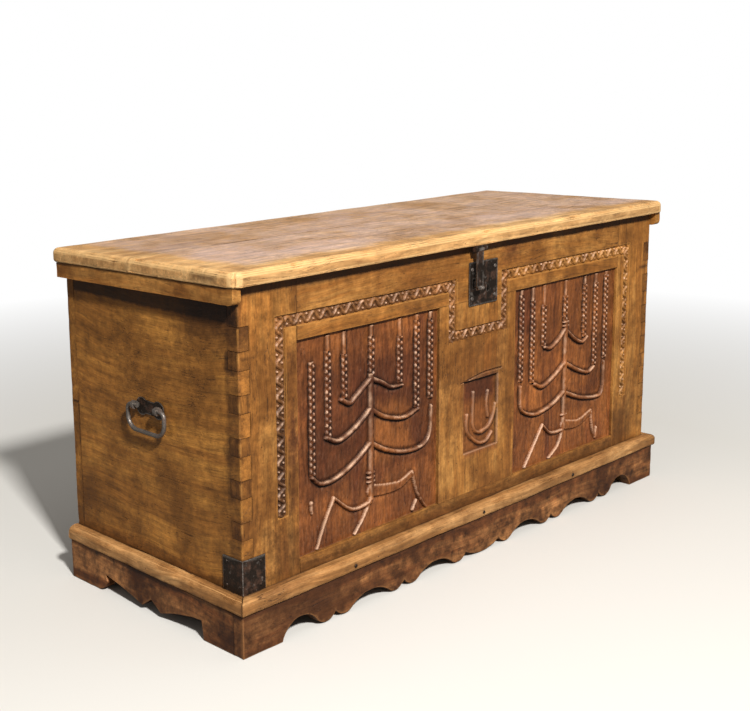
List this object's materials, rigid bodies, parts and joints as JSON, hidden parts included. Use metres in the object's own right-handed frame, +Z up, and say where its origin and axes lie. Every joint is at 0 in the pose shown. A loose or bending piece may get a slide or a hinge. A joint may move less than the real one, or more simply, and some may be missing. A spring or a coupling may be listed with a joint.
{
  "type": "cassone",
  "caption": "Long carved walnut marriage chest with a framed and panelled front, scalloped skirt, moulding bar, hinged plank lid, hasp lock and iron drop handles.",
  "frame": {"origin": "centre of the footprint on the floor", "axes": "+X along the front to its right end, +Y from the front to the back, +Z up"},
  "size_m": [1.494, 0.6006, 0.7593],
  "materials": {
    "frame_wood": "waxed walnut, worn golden brown",
    "panel_wood": "waxed walnut, dark reddish brown, carved",
    "side_wood": "old walnut, mottled olive brown",
    "lid_wood": "bleached and rubbed walnut",
    "plinth_wood": "waxed walnut, worn edges",
    "inner_wood": "raw softwood, dry",
    "iron": "blackened wrought iron"
  },
  "bodies": {
    "chest": {"front_top_rail": "frame_wood", "front_bottom_rail": "frame_wood", "front_muntin": "frame_wood", "front_skirt": "plinth_wood", "front_mould": "plinth_wood", "back_board_lower": "side_wood", "back_board_upper": "side_wood", "corner_iron": "iron", "lock_plate": "iron", "lock_case": "iron", "floor_board_front": "inner_wood", "floor_board_middle": "inner_wood", "floor_board_back": "inner_wood", "front_stile_left": "frame_wood", "front_panel_left": "panel_wood", "side_board_left": "side_wood", "side_skirt_left": "plinth_wood", "side_mould_left": "plinth_wood", "floor_bearer_left": "inner_wood", "corner_block_front_left": "iron", "corner_block_back_left": "iron", "handle_plate_left": "iron", "handle_eyes_left": "iron", "hinge_back_strap_left": "iron", "hinge_pin_left": "iron", "front_stile_right": "frame_wood", "front_panel_right": "panel_wood", "side_board_right": "side_wood", "side_skirt_right": "plinth_wood", "side_mould_right": "plinth_wood", "floor_bearer_right": "inner_wood", "corner_block_front_right": "iron", "corner_block_back_right": "iron", "handle_plate_right": "iron", "handle_eyes_right": "iron", "hinge_back_strap_right": "iron", "hinge_pin_right": "iron", "mould_nails": "iron", "lock_plate_nails": "iron", "corner_iron_nails": "iron", "back_strap_nails": "iron"},
    "lid": {"lid_board_front": "lid_wood", "lid_board_back": "lid_wood", "lid_batten_left": "lid_wood", "lid_batten_right": "lid_wood", "lid_batten_nails": "iron", "hinge_lid_strap_left": "iron", "hinge_lid_strap_right": "iron", "lid_strap_nails": "iron", "hasp_bracket": "iron", "hasp_pin": "iron"},
    "hasp": {"hasp": "iron"},
    "lock_bolt": {"lock_bolt": "iron"},
    "bail_left": {"bail_left": "iron"},
    "bail_right": {"bail_right": "iron"}
  },
  "joints": [
    {"name": "lid_hinge", "type": "hinge", "parent": "chest", "child": "lid", "pos_m": [0, 0.2943, 0.70633], "axis": [-1, 0, 0], "range_deg": [0, 100]},
    {"name": "hasp_hinge", "type": "hinge", "parent": "lid", "child": "hasp", "pos_m": [-0.024, -0.29091, 0.71895], "axis": [-1, 0, 0], "range_deg": [-8.26, 115]},
    {"name": "bolt_slide", "type": "slide", "parent": "chest", "child": "lock_bolt", "axis": [-1, 0, 0], "range_m": [0, 0.014]},
    {"name": "bail_left_hinge", "type": "hinge", "parent": "chest", "child": "bail_left", "pos_m": [-0.733, 0.0023, 0.445], "axis": [0, 1, 0], "range_deg": [0, 165]},
    {"name": "bail_right_hinge", "type": "hinge", "parent": "chest", "child": "bail_right", "pos_m": [0.733, 0.0023, 0.445], "axis": [0, -1, 0], "range_deg": [0, 165]}
  ]
}
